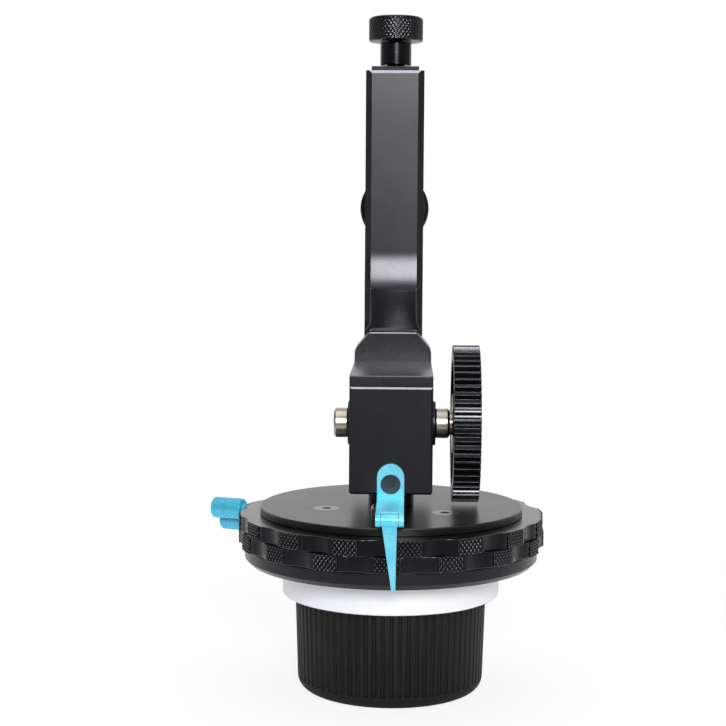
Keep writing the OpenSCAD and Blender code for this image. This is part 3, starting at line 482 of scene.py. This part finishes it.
lands = {"count": 16, "radius": 46.9, "half": 4.4, "across": 5.5, "rows": 2.5, "depth": 0.5,
         "sunk": 0.5, "clear": 0.02, "inset": 0.1, "fine": 8, "upper": 6.7, "lower": -0.6,
         "start": -90, "bright": 0.4, "thick": 0.35}


def addLands(name, ring, body, angle):
    low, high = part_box(ring)
    foot, top = low.z / mm + lands["inset"], high.z / mm - lands["inset"]
    across, rows, fine = lands["across"], lands["rows"], lands["fine"]
    ringName = ring.split("_")[0] + "StopRing"
    for vert in bpy.data.objects[ringName].data.vertices:  # the ring's own lands make room
        if vert.co.xy.length > (lands["radius"] - 0.05) * mm:
            vert.co.xy *= 1 - lands["sunk"] / lands["radius"]
    mesh = bmesh.new()
    for k in range(lands["count"]):
        patch = bmesh.ops.create_grid(mesh, x_segments=round(fine * across),
                                      y_segments=round(fine * rows), size=1)["verts"]
        middle = math.radians(lands["start"] + angle + k * 360 / lands["count"])
        for vert in patch:
            u, v = (vert.co.x + 1) / 2, (vert.co.y + 1) / 2
            rise = (lands["depth"] * (1 - (1 - knurl(u * across, v * rows)) ** 2)
                    - lands["sunk"] + lands["clear"])
            turn = middle + math.radians(lands["half"]) * vert.co.x
            r = (lands["radius"] + rise) * mm
            vert.co = (r * math.cos(turn), r * math.sin(turn), (foot + (top - foot) * v) * mm)
    bmesh.ops.recalc_face_normals(mesh, faces=mesh.faces)
    inward = sum(1 for face in mesh.faces if face.normal.xy.dot(face.calc_center_median().xy) < 0)
    if inward > len(mesh.faces) / 2:
        bmesh.ops.reverse_faces(mesh, faces=mesh.faces)
    crest = (lands["radius"] + lands["depth"] * lands["bright"] - lands["sunk"]) * mm
    for face in mesh.faces:
        face.smooth = True
        face.material_index = int(all(v.co.xy.length > crest for v in face.verts))
    for edge in mesh.edges:
        edge.smooth = edge.calc_face_angle(0) < knurlSharp
    piece = newPiece(name, mesh, gloss, body, "black_anodised", second=brightEdge)
    backing = piece.modifiers.new("backing", "SOLIDIFY")
    backing.thickness = lands["thick"] * mm
    backing.offset = -1


addLands("upperLands", "upper_stop_ring", "upper_stop", lands["upper"])
addLands("lowerLands", "lower_stop_ring", "lower_stop", lands["lower"])
print("knurls cut")


# ---- camera, light and floor

camera = {"place": (4.10, -498.2, 144.08), "yaw": 1.5, "pitch": 5.0, "roll": 0.35, "lens": 80.93}


def addCamera():
    data = bpy.data.cameras.new("view")
    data.lens = camera["lens"]
    data.sensor_width = 36
    data.clip_start = 0.01
    eye = bpy.data.objects.new("view", data)
    bpy.context.collection.objects.link(eye)
    turn = Euler((math.radians(90 - camera["pitch"]), 0, math.radians(camera["yaw"])))
    eye.matrix_world = (Matrix.Translation(Vector(camera["place"]) * mm) @ turn.to_matrix().to_4x4()
                        @ Matrix.Rotation(math.radians(camera["roll"]), 4, "Z"))
    bpy.context.scene.camera = eye


lamps = {
    "overhead": {"place": (0.0, -0.15, 1.1), "aim": (0, 0, 0.1), "size": 1.0, "power": 4.0},
    "front": {"place": (0.17, -1.6, 0.72), "aim": (0, 0, 0.1), "size": 0.46, "power": 20.5},
}


def addLamps():
    for name, lamp in lamps.items():
        data = bpy.data.lights.new(name, "AREA")
        data.shape = "SQUARE"
        data.size = lamp["size"]
        data.energy = lamp["power"]
        light = bpy.data.objects.new(name, data)
        bpy.context.collection.objects.link(light)
        light.location = lamp["place"]
        way = Vector(lamp["aim"]) - Vector(lamp["place"])
        light.rotation_euler = way.to_track_quat("-Z", "Y").to_euler()


room = {"sky": 0.82, "front": 0.22, "mirrorFront": 0.05, "mirrorSide": 0.2}
table = {"near": 0.18, "far": 0.23, "pale": 0.94, "grey": 0.4, "greyFront": 0.32, "glow": 0.86}


def addRoom():
    world = bpy.data.worlds.new("room")
    bpy.context.scene.world = world
    world.use_nodes = True
    r = Recipe(world.node_tree)
    ray = r.tree.nodes.new("ShaderNodeLightPath")
    seen = (Wire(r, ray.outputs["Is Camera Ray"])
            + Wire(r, ray.outputs["Is Transmission Ray"])).clamped()
    mirrored = Wire(r, ray.outputs["Is Glossy Ray"])
    y, z = r.axes(r.node("ShaderNodeTexCoord", {}, out="Generated"))[1:]
    behind = (y + z * 0.3).smooth(-0.45, 0.45)  # the room is darker on the camera's side
    plain = room["front"] + behind * (room["sky"] - room["front"])
    shiny = (room["mirrorFront"] + y.smooth(-1.0, 0.0) * (room["mirrorSide"] - room["mirrorFront"])
             + y.smooth(0.3, 0.95) * (1 - room["mirrorSide"]))
    strength = seen + (1 - seen) * (mirrored * shiny + (1 - mirrored) * plain)
    back = r.node("ShaderNodeBackground", {}, (1, 1, 1, 1), strength)
    end = r.tree.nodes.new("ShaderNodeOutputWorld")
    r.tree.links.new(back.socket, end.inputs[0])


def addFloor():
    mesh = bmesh.new()
    bmesh.ops.create_grid(mesh, x_segments=1, y_segments=1, size=6)
    data = bpy.data.meshes.new("floor")
    mesh.to_mesh(data)
    mesh.free()
    floor = bpy.data.objects.new("floor", data)
    bpy.context.collection.objects.link(floor)
    material = bpy.data.materials.new("paleFloor")
    material.use_nodes = True
    r = Recipe(material.node_tree)
    ray = r.tree.nodes.new("ShaderNodeLightPath")
    seen = Wire(r, ray.outputs["Is Camera Ray"])
    mirrored = Wire(r, ray.outputs["Is Glossy Ray"])
    x, y = r.axes(r.place())[:2]
    far = (x * x + y * y) ** 0.5
    around = far.smooth(table["near"], table["far"])  # mirrored, the table is grey further off
    grey = around * (1 - y.smooth(0.02, 0.25))
    front = (1 - y.smooth(-0.3, 0.0)) * table["greyFront"]
    pale = table["pale"] - mirrored * grey * (table["pale"] - table["grey"] + front)
    matt = r.node("ShaderNodeBsdfDiffuse", {}, r.tint(pale, (0, 0, 0), (1, 1, 1)))
    glow = r.node("ShaderNodeEmission", {}, (1, 1, 1, 1), 1.0)
    share = table["glow"] + (1 - table["glow"]) * far.smooth(0.08, 0.4)
    mixed = r.node("ShaderNodeMixShader", {}, seen * share, matt, glow)
    end = r.tree.nodes.new("ShaderNodeOutputMaterial")
    r.tree.links.new(mixed.socket, end.inputs[0])
    dress(floor, material)


addCamera()
addLamps()
addRoom()
addFloor()
bpy.context.scene.view_settings.view_transform = "Standard"
print("camera, lamps, room and floor placed")
